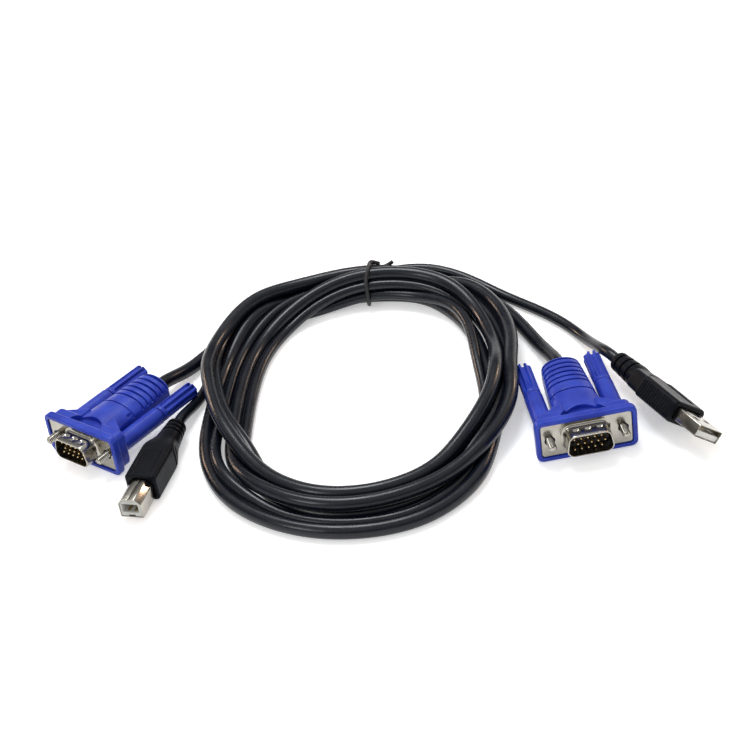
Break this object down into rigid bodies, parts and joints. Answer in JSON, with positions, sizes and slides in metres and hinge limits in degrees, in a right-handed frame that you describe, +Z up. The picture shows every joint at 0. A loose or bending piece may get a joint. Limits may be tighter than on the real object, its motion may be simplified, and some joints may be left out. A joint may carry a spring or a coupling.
{
  "type": "kvm cable",
  "caption": "Coiled KVM cable: a VGA cord and a USB cord moulded side by side, with a blue VGA plug and a black USB plug at each end.",
  "frame": {"origin": "on the floor under the middle of the four plugs' common footprint", "axes": "+X across the coil from the left pair of plugs to the right pair, +Y away from the viewer, +Z up from the floor"},
  "size_m": [0.2292, 0.1504, 0.0164],
  "materials": {
    "blue_pvc": "satin blue moulded PVC",
    "black_pvc": "satin black PVC",
    "nickel": "nickel-plated steel",
    "black_core": "black moulded insulator",
    "grey_core": "light grey moulded insert",
    "white_core": "off-white moulded tongue",
    "gold": "gold flash",
    "tie_wire": "black plastic-coated wire"
  },
  "bodies": {
    "cable": {"vga_left_hood": "blue_pvc", "vga_left_shell": "nickel", "vga_left_insulator": "black_core", "vga_left_pin_01": "gold", "vga_left_pin_02": "gold", "vga_left_pin_03": "gold", "vga_left_pin_04": "gold", "vga_left_pin_05": "gold", "vga_left_pin_06": "gold", "vga_left_pin_07": "gold", "vga_left_pin_08": "gold", "vga_left_pin_09": "gold", "vga_left_pin_10": "gold", "vga_left_pin_11": "gold", "vga_left_pin_12": "gold", "vga_left_pin_13": "gold", "vga_left_pin_14": "gold", "vga_left_pin_15": "gold", "vga_right_hood": "blue_pvc", "vga_right_shell": "nickel", "vga_right_insulator": "black_core", "vga_right_pin_01": "gold", "vga_right_pin_02": "gold", "vga_right_pin_03": "gold", "vga_right_pin_04": "gold", "vga_right_pin_05": "gold", "vga_right_pin_06": "gold", "vga_right_pin_07": "gold", "vga_right_pin_08": "gold", "vga_right_pin_09": "gold", "vga_right_pin_10": "gold", "vga_right_pin_11": "gold", "vga_right_pin_12": "gold", "vga_right_pin_13": "gold", "vga_right_pin_14": "gold", "vga_right_pin_15": "gold", "usb_a_boot": "black_pvc", "usb_a_shell": "nickel", "usb_a_tongue": "white_core", "usb_a_contact_1": "gold", "usb_a_contact_2": "gold", "usb_a_contact_3": "gold", "usb_a_contact_4": "gold", "usb_b_boot": "black_pvc", "usb_b_shell": "nickel", "usb_b_insert": "grey_core", "vga_cord_left": "black_pvc", "vga_cord_right": "black_pvc", "usb_cord_left": "black_pvc", "usb_cord_right": "black_pvc", "cord_coil": "black_pvc", "wire_tie": "tie_wire"},
    "vga_left_thumbscrew_left": {"vga_left_knob_left": "blue_pvc", "vga_left_screw_left": "nickel"},
    "vga_left_thumbscrew_right": {"vga_left_knob_right": "blue_pvc", "vga_left_screw_right": "nickel"},
    "vga_right_thumbscrew_left": {"vga_right_knob_left": "blue_pvc", "vga_right_screw_left": "nickel"},
    "vga_right_thumbscrew_right": {"vga_right_knob_right": "blue_pvc", "vga_right_screw_right": "nickel"}
  },
  "joints": [
    {"name": "vga_left_thumbscrew_left_turn", "type": "hinge", "parent": "cable", "child": "vga_left_thumbscrew_left", "pos_m": [-0.11064, 0.01256, 0.00808], "axis": [-0.6607, -0.7494, 0.0436], "continuous": true},
    {"name": "vga_left_thumbscrew_right_turn", "type": "hinge", "parent": "cable", "child": "vga_left_thumbscrew_right", "pos_m": [-0.0919, -0.00396, 0.00808], "axis": [-0.6607, -0.7494, 0.0436], "continuous": true},
    {"name": "vga_right_thumbscrew_left_turn", "type": "hinge", "parent": "cable", "child": "vga_right_thumbscrew_left", "pos_m": [0.05854, -0.03644, 0.00808], "axis": [0.0349, -0.9984, 0.0436], "continuous": true},
    {"name": "vga_right_thumbscrew_right_turn", "type": "hinge", "parent": "cable", "child": "vga_right_thumbscrew_right", "pos_m": [0.08352, -0.03556, 0.00808], "axis": [0.0349, -0.9984, 0.0436], "continuous": true}
  ]
}
